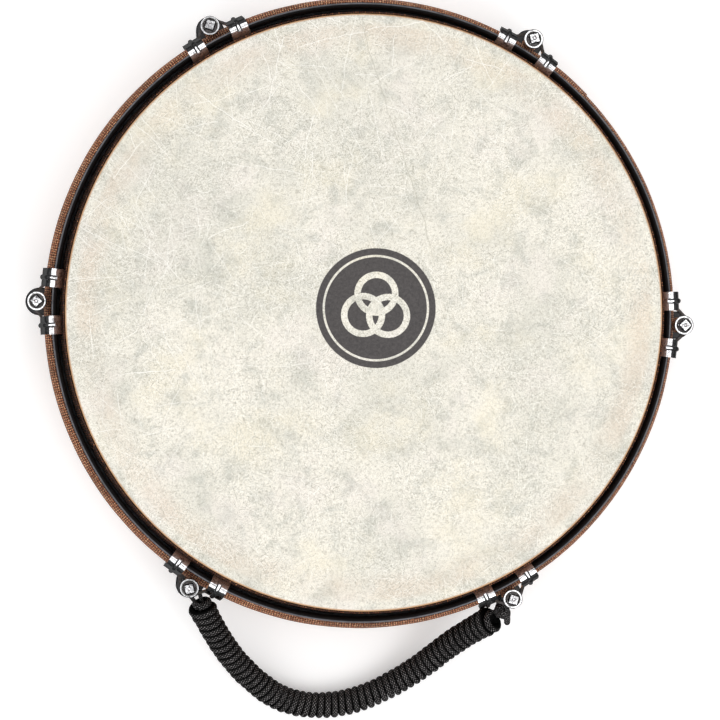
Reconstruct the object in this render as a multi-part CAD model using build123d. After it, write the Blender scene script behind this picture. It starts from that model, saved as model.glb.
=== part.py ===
"""A hand-held frame drum with a mechanically tuned head and a wound cord handle.

The drum lies on its open back, head up. Z = 0 is the back rim and the Z axis is the
drum's own axis. Six lugs stand at 0, 60, ... 300 degrees, and the handle is tied
between the lugs at 240 and 300 degrees, so it hangs towards -Y. All sizes are in
millimetres.
"""
from build123d import *
import os
from math import acos, atan2, cos, degrees, hypot, radians, sin, tan

# Head and shell
head_radius = 177.8
drum_depth = 115.0
film_thickness = 0.35
film_edge_radius = 2.0
film_skirt_bottom = 110.0
frame_inner = 168.0
frame_outer = 177.0
bearing_edge_radius = 1.6
bearing_edge_chamfer = 4.0
band_outer = 186.0
shoulder_outer = 192.1
shoulder_bottom = 49.2
shoulder_top = 59.0
shoulder_round = 5.0
shoulder_under_round = 2.5
band_rim_round = 1.5
frame_rim_chamfer = 1.0
wrap_thickness = 0.8
wrap_inner_edge = 179.5

# Tuning hoops
flesh_hoop_inner = 180.2
flesh_hoop_outer = 186.6
flesh_hoop_bottom = 64.0
flesh_hoop_round = 0.8
hoop_bottom = 69.0
hoop_top = 87.0
hoop_inner = 184.4
hoop_outer = 187.0
hoop_round_outer = 0.6
hoop_round_inner = 1.7
collar_thickness = 0.6
collar_line = [
    (178.65, 112.8),
    (178.75, 98.0),
    (179.1, 87.0),
    (179.7, 79.5),
    (181.3, 74.0),
    (182.9, 69.1),
]

# Lugs
lug_count = 6
bolt_circle = 196.3
strap_angle = 4.35
strap_width = 11.2
sheet = 2.2
hook_tip = (181.6, 79.0)
hook_shoulder = (183.4, 88.5)
strap_shoulder = (189.6, 88.5)
claw_bottom = 64.4
claw_foot = (193.7, claw_bottom)
bend_radius = 3.5
rib_radius = 1.6
rib_lift = 0.6
rib_start = 184.8
rib_foot_lift = 1.0
web_line = [(192.3, 17.0), (192.8, 10.0), (197.8, 5.0)]
web_sheet = 1.5
web_height = 6.5
bush_radius = 5.9
bush_bottom = 63.5
bush_top = 77.0
bush_bore = 3.2
bush_round = 0.6
counterbore_radius = 4.7
counterbore_depth = 5.5
rod_washer_inner = 3.1
rod_washer_outer = 4.55
rod_washer_thickness = 1.0
rod_radius = 2.78
rod_bottom = 22.0
rod_top = 83.5
flange_radius = 4.4
flange_thickness = 1.5
flange_gap = 0.05
flange_round = 0.4
rod_tip_chamfer = 0.8
key_square = 6.35
key_corner_round = 0.9
key_top_chamfer = 0.7
key_dimple_radius = 1.5
key_dimple_lift = 0.6
casing_radius = 8.5
casing_bottom = 16.0
casing_top = 44.0
casing_back = 187.6
foot_half_width = 13.0
foot_front = 191.8
foot_round = 4.0
foot_edge_round = 1.0
foot_margin = 2.0
casing_rim_chamfer = 0.9
casing_screw_cover = 0.4
gasket_margin = 0.5
rod_passage = 3.7
nut_radius = 5.3
nut_play = 0.3
nut_thread_play = 0.08
nut_bottom = 25.5
nut_top = 33.9
nut_chamfer = 0.6
lug_screw_angle = 2.9
lug_screw_z = 30.0
lug_screw_radius = 2.0
lug_screw_tip = 191.2
lug_screw_hole = 2.2
lug_screw_play = 0.05
lug_screw_seat = 166.9
lug_screw_head_radius = 4.0
lug_screw_head_height = 2.6
lug_screw_head_round = 1.2
driver_slot = (0.9, 5.0, 2.0)
lug_washer_radius = 4.5
lug_washer_thickness = 1.0
lug_washer_gap = 0.03

# Crossbars
bar_width = 22.0
bar_low = 34.0
bar_high = 45.0
bar_reach = 167.9
bar_long_angle = 45.0
bar_short_angle = 135.0
bar_screw_radius = 1.9
bar_screw_tip = 146.0
bar_screw_head = 3.8
bar_screw_cone = 2.2
bar_screw_sink = 0.3
bar_screw_play = 0.15
bar_edge_round = 2.5

# Handle: the grip's line, chosen by hand from one tie to the other
core_radius = 3.2
grip_radius = 8.7
handle_route = [
    (-90.0, -185.0, 50.0),
    (-80.0, -205.5, 38.0),
    (-60.0, -228.5, 21.0),
    (-33.0, -244.0, 9.2),
    (6.0, -243.0, 9.2),
    (42.0, -224.5, 14.0),
    (72.0, -200.0, 30.0),
    (90.0, -185.0, 50.0),
]
tie_radius = 1.3
tie_z = 47.0
tie_gap = 0.4
tie_play = 0.35
tie_half_gap = 1.7
bore_play = 0.05
end_run = 2.0


def lug_angles():
    """The angle of each lug about the drum's axis, in degrees."""
    return [360.0 / lug_count * i for i in range(lug_count)]


def post(radius, low, high):
    """An upright cylinder on the Z axis from one height to another."""
    return Pos(0, 0, low) * Cylinder(
        radius, high - low, align=(Align.CENTER, Align.CENTER, Align.MIN)
    )


def ring(inner, outer, low, high):
    """An upright tube on the Z axis."""
    return post(outer, low, high) - post(inner, low - 1, high + 1)


def rim(solid, height, radius):
    """The circular edge of a solid of revolution at that height and radius."""
    edges = solid.edges().filter_by(GeomType.CIRCLE)
    return min(edges, key=lambda e: abs(e.center().Z - height) * 9 + abs(e.radius - radius))


def peg(radius, near, far, angle, height):
    """A cylinder that lies along a radius of the drum, from near to far."""
    rod = Cylinder(radius, far - near, align=(Align.CENTER, Align.CENTER, Align.MIN))
    return Rot(0, 0, angle) * Pos(near, 0, height) * Rot(0, 90, 0) * rod


def lug_screw_angles():
    """Two screws for each lug, one to either side of it."""
    return [a + side * lug_screw_angle for a in lug_angles() for side in (-1, 1)]


def bar_end_angles():
    """Both ends of both crossbars."""
    return [a + turn for a in (bar_long_angle, bar_short_angle) for turn in (0, 180)]


def lug_screw_holes(near, far):
    """The clearance holes for all lug screws through one wall."""
    return [peg(lug_screw_hole, near, far, a, lug_screw_z) for a in lug_screw_angles()]


def bar_height():
    """The height of the crossbars' middle."""
    return (bar_low + bar_high) / 2


# ---------------------------------------------------------------- head and shell


def head_membrane():
    """The film: a flat top that rounds over the bearing edge into a short skirt."""
    outside = post(head_radius, film_skirt_bottom, drum_depth)
    outside = fillet(rim(outside, drum_depth, head_radius), film_edge_radius)
    inner_radius = head_radius - film_thickness
    inner_top = drum_depth - film_thickness
    inside = post(inner_radius, film_skirt_bottom - 5, inner_top)
    inside = fillet(
        rim(inside, inner_top, inner_radius), film_edge_radius - film_thickness
    )
    return outside - inside


def frame_hoop():
    """The bent ply frame, rounded outside and bevelled inside at the bearing edge."""
    top = drum_depth - film_thickness
    hoop = ring(frame_inner, frame_outer, 0, top)
    hoop = fillet(rim(hoop, top, frame_outer), bearing_edge_radius)
    hoop = chamfer(rim(hoop, top, frame_inner), bearing_edge_chamfer)
    hoop = chamfer(rim(hoop, 0, frame_inner), frame_rim_chamfer)
    hoop -= lug_screw_holes(frame_inner - 5, frame_outer + 1)
    hole = bar_screw_radius + bar_screw_play
    sink = bar_screw_head + bar_screw_play
    sink_floor = frame_outer - bar_screw_sink - bar_screw_cone
    for angle in bar_end_angles():
        hoop -= peg(hole, frame_inner - 5, frame_outer + 1, angle, bar_height())
        hoop -= peg(sink, sink_floor - bar_screw_play, frame_outer + 1, angle, bar_height())
    return hoop


def outer_band():
    """The second ply band, glued round the frame below the shoulder."""
    band = ring(frame_outer, band_outer, 0, shoulder_bottom)
    band = fillet(rim(band, 0, band_outer), band_rim_round)
    return band - lug_screw_holes(frame_outer - 1, band_outer + 1)


def shoulder_shape(grow):
    """The shoulder ring's outline, grown on every side by the given amount."""
    outer = shoulder_outer + grow
    low = shoulder_bottom - grow
    high = shoulder_top + grow
    body = ring(frame_outer, outer, low, high)
    body = fillet(rim(body, high, outer), shoulder_round + grow)
    return fillet(rim(body, low, outer), shoulder_under_round + grow)


def shoulder_ring():
    """The solid ring that makes the drum's rounded shoulder."""
    return shoulder_shape(0)


def shell_wrap():
    """The woven cloth glued over the band and the shoulder."""
    wall = ring(frame_outer, band_outer + wrap_thickness, wrap_thickness, shoulder_bottom)
    cloth = wall + shoulder_shape(wrap_thickness)
    cloth -= ring(frame_outer, band_outer, 0, shoulder_bottom)
    cloth -= shoulder_shape(0)
    cloth -= post(wrap_inner_edge, 0, drum_depth)
    return cloth - lug_screw_holes(band_outer - 1, band_outer + 3)


# ------------------------------------------------------------------ tuning hoops


def flesh_hoop():
    """The hoop that holds the edge of the film and of its cloth collar."""
    hoop = ring(flesh_hoop_inner, flesh_hoop_outer, flesh_hoop_bottom, hoop_bottom)
    return fillet(rim(hoop, flesh_hoop_bottom, flesh_hoop_outer), flesh_hoop_round)


def tension_hoop():
    """The tall steel band that stands on the flesh hoop."""
    hoop = ring(hoop_inner, hoop_outer, hoop_bottom, hoop_top)
    hoop = fillet(rim(hoop, hoop_top, hoop_outer), hoop_round_outer)
    return fillet(rim(hoop, hoop_top, hoop_inner), hoop_round_inner)


def collar_cloth():
    """The woven collar, from the film's edge down and out to the flesh hoop."""
    half = collar_thickness / 2
    inside = Spline(*[(r - half, z) for r, z in collar_line])
    outside = Spline(*[(r + half, z) for r, z in collar_line])
    top = Line(inside @ 0, outside @ 0)
    bottom = Line(inside @ 1, outside @ 1)
    face = make_face([inside, bottom, outside, top])
    return revolve(Plane.XZ * face, Axis.Z)


# -------------------------------------------------------------------------- lugs


def strap():
    """One hooked strap of a claw, arched over the hoop, with its pressed rib."""
    line = FilletPolyline(hook_tip, hook_shoulder, strap_shoulder, claw_foot, radius=bend_radius)
    body = extrude(Plane.XZ * trace(line, sheet), strap_width / 2, both=True)
    foot_radius, foot_height = claw_foot
    top_radius, top_height = strap_shoulder
    rib_top = top_height + rib_lift
    rib_foot = (foot_radius + rib_lift, foot_height + rib_foot_lift)
    rib_bend = (top_radius + rib_lift, rib_top)
    rib_line = FilletPolyline((rib_start, rib_top), rib_bend, rib_foot, radius=bend_radius + rib_lift)
    rib_path = Plane.XZ * rib_line
    rib = sweep(Plane(rib_path @ 0, z_dir=rib_path % 0) * Circle(rib_radius), rib_path)
    for radius, height in ((rib_start, rib_top), rib_foot):
        rib += Pos(radius, 0, height) * Sphere(rib_radius)
    below = Pos(bolt_circle, 0, claw_bottom - 5) * Box(40, 40, 10)
    slope = (foot_radius - top_radius) / (top_height - foot_height)
    inner_face = foot_radius - sheet / 2 * (1 + slope)
    behind = Pos(inner_face - 20, 0, claw_bottom) * Box(40, 4, 3)
    return body + (rib - below - behind)


def claw(angle):
    """A pressed claw: two hooked straps, joined by webs to the bush of the rod."""
    body = Rot(0, 0, strap_angle) * strap()
    body += Rot(0, 0, -strap_angle) * strap()
    for side in (-1, 1):
        web = Polyline(*[(x, side * y) for x, y in web_line])
        body += Pos(0, 0, claw_bottom) * extrude(trace(web, web_sheet), web_height)
    bush = post(bush_radius, bush_bottom, bush_top)
    bush = fillet(rim(bush, bush_top, bush_radius), bush_round)
    body += Pos(bolt_circle, 0, 0) * bush
    body -= Pos(bolt_circle, 0, 0) * post(bush_bore, bush_bottom - 2, bush_top + 2)
    seat = bush_top - counterbore_depth
    body -= Pos(bolt_circle, 0, 0) * post(counterbore_radius, seat, bush_top + 2)
    return Rot(0, 0, angle) * body


def rod_washer(angle):
    """The steel washer in the floor of the bush's counterbore."""
    seat = bush_top - counterbore_depth
    return Rot(0, 0, angle) * Pos(bolt_circle, 0, 0) * ring(
        rod_washer_inner, rod_washer_outer, seat, seat + rod_washer_thickness
    )


def tension_rod(angle):
    """A drum rod: a square key head on a flange, and a plain shank for the thread."""
    flange_low = bush_top - counterbore_depth + rod_washer_thickness + flange_gap
    flange_high = flange_low + flange_thickness
    rod = post(rod_radius, rod_bottom, flange_high)
    rod = chamfer(rim(rod, rod_bottom, rod_radius), rod_tip_chamfer)
    flange = post(flange_radius, flange_low, flange_high)
    rod += fillet(rim(flange, flange_high, flange_radius), flange_round)
    key = Pos(0, 0, flange_high) * Box(
        key_square, key_square, rod_top - flange_high, align=(Align.CENTER, Align.CENTER, Align.MIN)
    )
    key = fillet(key.edges().filter_by(Axis.Z), key_corner_round)
    key = chamfer(key.faces().sort_by(Axis.Z)[-1].edges(), key_top_chamfer)
    key -= Pos(0, 0, rod_top + key_dimple_lift) * Sphere(key_dimple_radius)
    return Rot(0, 0, angle) * Pos(bolt_circle, 0, 0) * Rot(0, 0, 45) * (rod + key)


def casing_screw_holes():
    """The two tapped holes in one casing's foot, for a casing at angle 0."""
    radius = lug_screw_radius + lug_screw_play
    far = foot_front - casing_screw_cover
    angles = (-lug_screw_angle, lug_screw_angle)
    return [peg(radius, casing_back - 3, far, a, lug_screw_z) for a in angles]


def lug_casing(angle):
    """The cast lug: a round tower on a saddle foot, hollow for the swivel nut."""
    height = casing_top - casing_bottom
    tower = Pos(bolt_circle, 0, 0) * post(casing_radius, casing_bottom, casing_top)
    neck_depth = bolt_circle - casing_back + 3
    neck = Pos(bolt_circle - neck_depth / 2, 0, casing_bottom + height / 2) * Box(
        neck_depth, 2 * casing_radius, height
    )
    body = tower + neck
    body = chamfer(body.faces().sort_by(Axis.Z)[-1].edges(), casing_rim_chamfer)
    foot_depth = foot_front - casing_back + 3
    foot = Pos(foot_front - foot_depth / 2, 0, lug_screw_z) * Box(
        foot_depth, 2 * foot_half_width, height - 2 * foot_margin
    )
    foot = fillet(foot.edges().filter_by(Axis.X), foot_round)
    foot = fillet(foot.faces().sort_by(Axis.X)[-1].edges(), foot_edge_round)
    body += foot
    body -= post(casing_back, 0, drum_depth)
    body -= Pos(bolt_circle, 0, 0) * post(rod_passage, nut_top - 1, casing_top + 1)
    body -= Pos(bolt_circle, 0, 0) * post(nut_radius + nut_play, casing_bottom - 1, nut_top + 0.1)
    body -= casing_screw_holes()
    return Rot(0, 0, angle) * body


def swivel_nut(angle):
    """The threaded barrel inside a casing that the rod pulls on."""
    nut = ring(rod_radius + nut_thread_play, nut_radius, nut_bottom, nut_top)
    nut = chamfer(rim(nut, nut_bottom, nut_radius), nut_chamfer)
    return Rot(0, 0, angle) * Pos(bolt_circle, 0, 0) * nut


def lug_gaskets():
    """The thin rubber pad under each casing's foot."""
    low = casing_bottom - gasket_margin
    high = casing_top + gasket_margin
    sleeve = ring(band_outer + wrap_thickness, casing_back, low, high)
    sleeve -= lug_screw_holes(band_outer - 1, casing_back + 1)
    window = Pos(casing_back, 0, (low + high) / 2) * Box(20, 2 * foot_half_width + 2, high - low)
    return Compound([sleeve & (Rot(0, 0, a) * window) for a in lug_angles()])


def lug_screw(angle):
    """A pan-head screw from inside the frame into a casing's foot."""
    head_start = lug_screw_seat - lug_screw_head_height
    shank = peg(lug_screw_radius, head_start + 1, lug_screw_tip, angle, lug_screw_z)
    head = Cylinder(
        lug_screw_head_radius,
        lug_screw_head_height,
        align=(Align.CENTER, Align.CENTER, Align.MIN),
    )
    head = fillet(head.faces().sort_by(Axis.Z)[0].edges(), lug_screw_head_round)
    width, length, depth = driver_slot
    head -= Box(width, length, depth) + Box(length, width, depth)
    return shank + Rot(0, 0, angle) * Pos(head_start, 0, lug_screw_z) * Rot(0, 90, 0) * head


def lug_screw_washer(angle):
    """A flat washer under a lug screw's head, against the frame."""
    near = lug_screw_seat + lug_washer_gap
    far = near + lug_washer_thickness
    outer = peg(lug_washer_radius, near, far, angle, lug_screw_z)
    return outer - peg(lug_screw_radius + 0.1, near - 5, far + 5, angle, lug_screw_z)


# --------------------------------------------------------------------- crossbars


def crossbar(angle, lap_low, lap_high):
    """A bar across the frame, cut away at its middle between two heights."""
    bar = Pos(0, 0, bar_height()) * Box(2 * frame_inner, bar_width, bar_high - bar_low)
    bar = fillet(bar.edges().filter_by(Axis.X), bar_edge_round)
    bar &= post(bar_reach, 0, drum_depth)
    bar -= Pos(0, 0, (lap_low + lap_high) / 2) * Box(
        bar_width + 0.1, bar_width + 2, lap_high - lap_low
    )
    for end in (0, 180):
        bar -= peg(bar_screw_radius, bar_screw_tip, frame_outer, end, bar_height())
    return Rot(0, 0, angle) * bar


def crossbar_screw(angle):
    """A countersunk wood screw from the frame's outside into a crossbar's end."""
    head_face = frame_outer - bar_screw_sink
    shank = peg(bar_screw_radius, bar_screw_tip + 0.2, head_face - 1.0, angle, bar_height())
    cone = Cone(
        bar_screw_radius, bar_screw_head, bar_screw_cone, align=(Align.CENTER, Align.CENTER, Align.MIN)
    )
    place = Rot(0, 0, angle) * Pos(head_face - bar_screw_cone, 0, bar_height())
    return shank + place * Rot(0, 90, 0) * cone


# ------------------------------------------------------------------------ handle


def corner_radii(points):
    """The arc radius at each inner point: 0.45 of the shorter run over tan(turn / 2)."""
    radii = []
    for before, corner, after in zip(points, points[1:], points[2:]):
        first = Vector(*corner) - Vector(*before)
        second = Vector(*after) - Vector(*corner)
        half_turn = radians(first.get_angle(second)) / 2
        radii.append(0.45 * min(first.length, second.length) / tan(half_turn))
    return radii


def handle_line():
    """The grip's centreline as straight runs joined by tangent arcs."""
    return FilletPolyline(*handle_route, radius=corner_radii(handle_route))


def tube(line, radius):
    """A round tube along a line."""
    return sweep(Plane(line @ 0, z_dir=line % 0) * Circle(radius), line)


def handle_core():
    """The thick cord inside the grip."""
    return tube(handle_line(), core_radius)


def handle_winding():
    """The outer shape of the cord wound round the core, with rounded ends."""
    line = handle_line()
    grip = tube(line, grip_radius)
    grip += Pos(*handle_route[0]) * Sphere(grip_radius)
    grip += Pos(*handle_route[-1]) * Sphere(grip_radius)
    start = Vector(*handle_route[0]) - (line % 0) * end_run
    finish = Vector(*handle_route[-1]) + (line % 1) * end_run
    bore_radius = core_radius + bore_play
    bore = tube(line, bore_radius)
    bore += tube(Line(start, handle_route[0]), bore_radius)
    bore += tube(Line(handle_route[-1], finish), bore_radius)
    return grip - bore


def handle_tie(lug_angle, grip_end):
    """An eye of thin cord round a rod, its two strands ending at the grip's end."""
    rod_x = bolt_circle * cos(radians(lug_angle))
    rod_y = bolt_circle * sin(radians(lug_angle))
    eye_radius = rod_radius + tie_play + tie_radius
    reach = hypot(grip_end[0] - rod_x, grip_end[1] - rod_y) - grip_radius - tie_gap
    slant = degrees(atan2(tie_half_gap, reach) + acos(eye_radius / hypot(reach, tie_half_gap)))
    leave = (eye_radius * cos(radians(slant)), eye_radius * sin(radians(slant)))
    far = CenterArc((0, 0), eye_radius, slant, 360 - 2 * slant)
    near = Line((reach, tie_half_gap), leave)
    back = Line((leave[0], -leave[1]), (reach, -tie_half_gap))
    heading = degrees(atan2(grip_end[1] - rod_y, grip_end[0] - rod_x))
    place = Pos(rod_x, rod_y, tie_z) * Rot(0, 0, heading)
    return tube(place * Wire([near, far, back]), tie_radius)


def write(name, shape):
    """Write one node's STEP file."""
    export_step(shape, f"parts/{name}.step")


def main():
    os.makedirs("parts", exist_ok=True)
    write("head_membrane", head_membrane())
    write("frame_hoop", frame_hoop())
    write("outer_band", outer_band())
    write("shoulder_ring", shoulder_ring())
    write("shell_wrap", shell_wrap())
    write("flesh_hoop", flesh_hoop())
    write("tension_hoop", tension_hoop())
    write("collar_cloth", collar_cloth())
    for number, angle in enumerate(lug_angles(), start=1):
        write(f"claw_{number}", claw(angle))
        write(f"rod_washer_{number}", rod_washer(angle))
        write(f"tension_rod_{number}", tension_rod(angle))
        write(f"lug_casing_{number}", lug_casing(angle))
        write(f"swivel_nut_{number}", swivel_nut(angle))
    write("lug_gaskets", lug_gaskets())
    write("lug_screws", Compound([lug_screw(a) for a in lug_screw_angles()]))
    write("lug_screw_washers", Compound([lug_screw_washer(a) for a in lug_screw_angles()]))
    write("crossbar_long", crossbar(bar_long_angle, bar_height(), bar_high + 1))
    write("crossbar_short", crossbar(bar_short_angle, bar_low - 1, bar_height()))
    write("crossbar_screws", Compound([crossbar_screw(a) for a in bar_end_angles()]))
    write("handle_core", handle_core())
    write("handle_winding", handle_winding())
    write("handle_tie_left", handle_tie(240.0, handle_route[0]))
    write("handle_tie_right", handle_tie(300.0, handle_route[-1]))
    print("grip arc radii", [round(r, 1) for r in corner_radii(handle_route)])
    print("grip length", round(handle_line().length, 1))


main()
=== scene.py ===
"""Looks for the tuned frame drum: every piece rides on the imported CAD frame, in metres."""
from math import cos, pi, radians, sin, tau
from random import Random

import bpy
import numpy as np
from mathutils import Matrix, Vector, noise


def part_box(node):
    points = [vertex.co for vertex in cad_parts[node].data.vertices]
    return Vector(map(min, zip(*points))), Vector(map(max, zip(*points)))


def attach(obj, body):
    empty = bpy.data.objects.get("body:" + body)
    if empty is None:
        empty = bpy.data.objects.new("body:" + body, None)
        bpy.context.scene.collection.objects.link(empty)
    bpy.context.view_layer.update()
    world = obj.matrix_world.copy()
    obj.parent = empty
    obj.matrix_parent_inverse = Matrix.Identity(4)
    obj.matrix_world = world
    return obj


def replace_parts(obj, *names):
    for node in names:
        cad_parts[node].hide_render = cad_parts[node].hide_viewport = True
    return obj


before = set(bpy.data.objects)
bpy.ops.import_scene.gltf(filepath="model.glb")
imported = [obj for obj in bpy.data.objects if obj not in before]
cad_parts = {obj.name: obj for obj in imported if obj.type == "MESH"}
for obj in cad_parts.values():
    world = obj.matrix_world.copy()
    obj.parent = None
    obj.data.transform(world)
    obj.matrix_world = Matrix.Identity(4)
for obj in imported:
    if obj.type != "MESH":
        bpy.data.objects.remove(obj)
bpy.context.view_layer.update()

MM = 0.001

# ------------------------------------------------------------ sizes read from the frame
HEAD_LOW, HEAD_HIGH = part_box("head_membrane")
HEAD_TOP = HEAD_HIGH.z
HEAD_RADIUS = (HEAD_HIGH.x - HEAD_LOW.x) / 2
FRAME_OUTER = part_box("frame_hoop")[1].x
BAND_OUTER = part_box("outer_band")[1].x
SHOULDER_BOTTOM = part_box("shoulder_ring")[0].z
WRAP_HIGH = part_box("shell_wrap")[1]
SHOULDER_RADIUS = WRAP_HIGH.x
SHOULDER_TOP = WRAP_HIGH.z
HOOP_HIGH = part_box("tension_hoop")[1]
HOOP_OUTER = HOOP_HIGH.x
ROD_LOW, ROD_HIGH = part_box("tension_rod_1")
BOLT_CIRCLE = (ROD_LOW.x + ROD_HIGH.x) / 2

LUGS = range(1, 7)
LUG_STEP = 60.0
ROD_RADIUS = 2.78 * MM


def lug_angle(number):
    """The angle of a lug about the drum's axis, in radians."""
    return radians(LUG_STEP * (number - 1))


# ------------------------------------------------------------------ shader node helpers
class Graph:
    """A material's node tree, with short calls for the nodes that are used often."""

    def __init__(self, name):
        self.material = bpy.data.materials.new(name)
        self.material.use_nodes = True
        self.nodes = self.material.node_tree.nodes
        self.links = self.material.node_tree.links
        self.shader = self.nodes["Principled BSDF"]
        self.place = self.nodes.new("ShaderNodeTexCoord").outputs["Object"]

    def feed(self, socket, value):
        """Link an output to a socket, or set the socket's own value."""
        if isinstance(value, bpy.types.NodeSocket):
            self.links.new(value, socket)
        else:
            socket.default_value = value

    def math(self, operation, a, b=0.5, c=0.0, clamp=False):
        node = self.nodes.new("ShaderNodeMath")
        node.operation = operation
        node.use_clamp = clamp
        for socket, value in zip(node.inputs, (a, b, c)):
            self.feed(socket, value)
        return node.outputs[0]

    def vector(self, operation, a, b=(0, 0, 0)):
        node = self.nodes.new("ShaderNodeVectorMath")
        node.operation = operation
        self.feed(node.inputs[0], a)
        if operation == "SCALE":
            self.feed(node.inputs["Scale"], b)
            return node.outputs["Vector"]
        self.feed(node.inputs[1], b)
        wants_value = operation in ("DOT_PRODUCT", "LENGTH", "DISTANCE")
        return node.outputs["Value" if wants_value else "Vector"]

    def split(self, vector):
        node = self.nodes.new("ShaderNodeSeparateXYZ")
        self.feed(node.inputs[0], vector)
        return node.outputs

    def join(self, x, y, z):
        node = self.nodes.new("ShaderNodeCombineXYZ")
        for socket, value in zip(node.inputs, (x, y, z)):
            self.feed(socket, value)
        return node.outputs[0]

    def noise(self, where, scale, detail=3.0, rough=0.5, warp=0.0):
        node = self.nodes.new("ShaderNodeTexNoise")
        self.feed(node.inputs["Vector"], where)
        self.feed(node.inputs["Scale"], scale)
        self.feed(node.inputs["Detail"], detail)
        self.feed(node.inputs["Roughness"], rough)
        self.feed(node.inputs["Distortion"], warp)
        return node.outputs["Fac"]

    def cells(self, where, scale):
        """Voronoi cells in the plane: each cell's own place, and its own random colour."""
        node = self.nodes.new("ShaderNodeTexVoronoi")
        node.voronoi_dimensions = "2D"
        self.feed(node.inputs["Vector"], where)
        self.feed(node.inputs["Scale"], scale)
        return node.outputs["Position"], node.outputs["Color"]

    def ramp(self, value, low, high, start=0.0, end=1.0):
        """A smooth step from start to end as value goes from low to high."""
        node = self.nodes.new("ShaderNodeMapRange")
        node.interpolation_type = "SMOOTHSTEP"
        for socket, number in zip(node.inputs, (value, low, high, start, end)):
            self.feed(socket, number)
        return node.outputs[0]

    def band(self, value, rise, fall):
        """One between two smooth edges, each given by where it starts and where it ends."""
        inside = self.ramp(value, *rise)
        return self.math("MULTIPLY", inside, self.ramp(value, *fall, 1.0, 0.0))

    def mix(self, factor, a, b):
        """Colour a where the factor is zero, and colour b where it is one."""
        node = self.nodes.new("ShaderNodeMix")
        node.data_type = "RGBA"
        node.clamp_factor = True
        self.feed(node.inputs["Factor"], factor)
        for name, value in (("A", a), ("B", b)):
            socket = [s for s in node.inputs if s.name == name and s.type == "RGBA"][0]
            self.feed(socket, value)
        return [s for s in node.outputs if s.type == "RGBA"][0]

    def bump(self, height, distance, strength):
        node = self.nodes.new("ShaderNodeBump")
        self.feed(node.inputs["Height"], height)
        node.inputs["Distance"].default_value = distance
        node.inputs["Strength"].default_value = strength
        return node.outputs["Normal"]

    def finish(self, colour, rough, normal, **fixed):
        """Feed the shader, and set its other sockets to plain numbers."""
        self.feed(self.shader.inputs["Base Color"], colour)
        self.feed(self.shader.inputs["Roughness"], rough)
        self.feed(self.shader.inputs["Normal"], normal)
        for name, value in fixed.items():
            self.shader.inputs[name.replace("_", " ")].default_value = value
        return self.material


def rgb(red, green, blue):
    """A screen colour from 0 to 255 as the linear colour that the shader takes."""
    channels = [c / 255 for c in (red, green, blue)]
    linear = [c / 12.92 if c <= 0.04045 else ((c + 0.055) / 1.055) ** 2.4 for c in channels]
    return (*linear, 1.0)


def around(graph, radius):
    """Coordinates on a wall about the drum's axis: arc length and height."""
    x, y, z = graph.split(graph.place)
    angle = graph.math("ARCTAN2", y, x)
    return graph.join(graph.math("MULTIPLY", angle, radius), z, 0.0)


# ---------------------------------------------------------------------------- materials
FILM_CREAM = rgb(237, 232, 219)
FILM_CLOUD = rgb(218, 215, 203)
FILM_BLOTCH = rgb(190, 190, 180)
FILM_SHADE = rgb(190, 190, 182)
FILM_FELT = rgb(166, 161, 149)
FILM_DARK_GRIT = rgb(144, 139, 128)
FILM_LIGHT_GRIT = rgb(250, 246, 236)
FILM_YELLOW = rgb(236, 226, 200)
FILM_PINK = rgb(236, 226, 220)
FILM_TAN = rgb(214, 198, 180)
FILM_DARK_FIBRE = rgb(136, 133, 119)
FILM_LIGHT_FIBRE = rgb(248, 246, 238)
FILM_LONG_FIBRE = rgb(250, 248, 242)
FILM_CREASE_SHADE = rgb(170, 166, 152)
FILM_LIP_SHADE = rgb(196, 150, 108)
PRINT_DARK = rgb(54, 51, 52)
PRINT_WORN = rgb(80, 76, 76)

SHADE_TOWARDS = (-0.45, 0.89, 0)
LONG_FIBRES_TOWARDS = (-0.707, 0.707, 0)
CREASE_PLACE = (38.0 * MM, 60.0 * MM, 0)
CREASE_ACROSS = (0.944, 0.33, 0)

# Each fibre layer: cells per metre, half width of a fibre in metres
DARK_FIBRES = ((720, 0.11 * MM), (560, 0.12 * MM), (430, 0.12 * MM), (300, 0.12 * MM), (190, 0.12 * MM))
LIGHT_FIBRES = ((640, 0.12 * MM), (480, 0.13 * MM), (340, 0.13 * MM), (210, 0.14 * MM), (120, 0.15 * MM))
LONG_FIBRES = ((20, 0.15 * MM), (27, 0.13 * MM), (34, 0.16 * MM), (43, 0.14 * MM), (55, 0.14 * MM))
LAYER_TURN = 1.3
LAYER_SHIFT = 0.31
CELL_SHIFT = 0.013
FIBRE_BEND = 9 * MM
FIBRE_KINK = 1.6 * MM

BADGE_PLACE = (6.4 * MM, 3.0 * MM)
BADGE_RADIUS = 35.6 * MM
BADGE_SOFTNESS = 0.2 * MM
RING_TURNS = (90, 210, 330)
RING_RADIUS = 11.2 * MM
RING_SPREAD = 8.6 * MM
RING_HALF_WIDTH = 1.9 * MM
RING_SOFTNESS = 0.15 * MM
DOT_RADIUS = 3.15 * MM
BORDER_RADIUS = 31.0 * MM
BORDER_HALF_WIDTH = 0.65 * MM
PRINT_FUZZ = 0.5 * MM
PRINT_FROM = HEAD_TOP - 0.25 * MM
PRINT_FULL = HEAD_TOP - 0.1 * MM

WEAVE_PITCH = 1.5 * MM
WEAVE_DEPTH = 0.35 * MM
BRAID_PITCH = 3.4 * MM
BRAID_STRANDS = 8
BRAID_DEPTH = 0.3 * MM
THREAD_PITCH = 25.4 / 24 * MM
THREAD_TOP = 52.0 * MM
THREAD_FADE = 1.0 * MM
PLY_PITCH = 3.0 * MM
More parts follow.
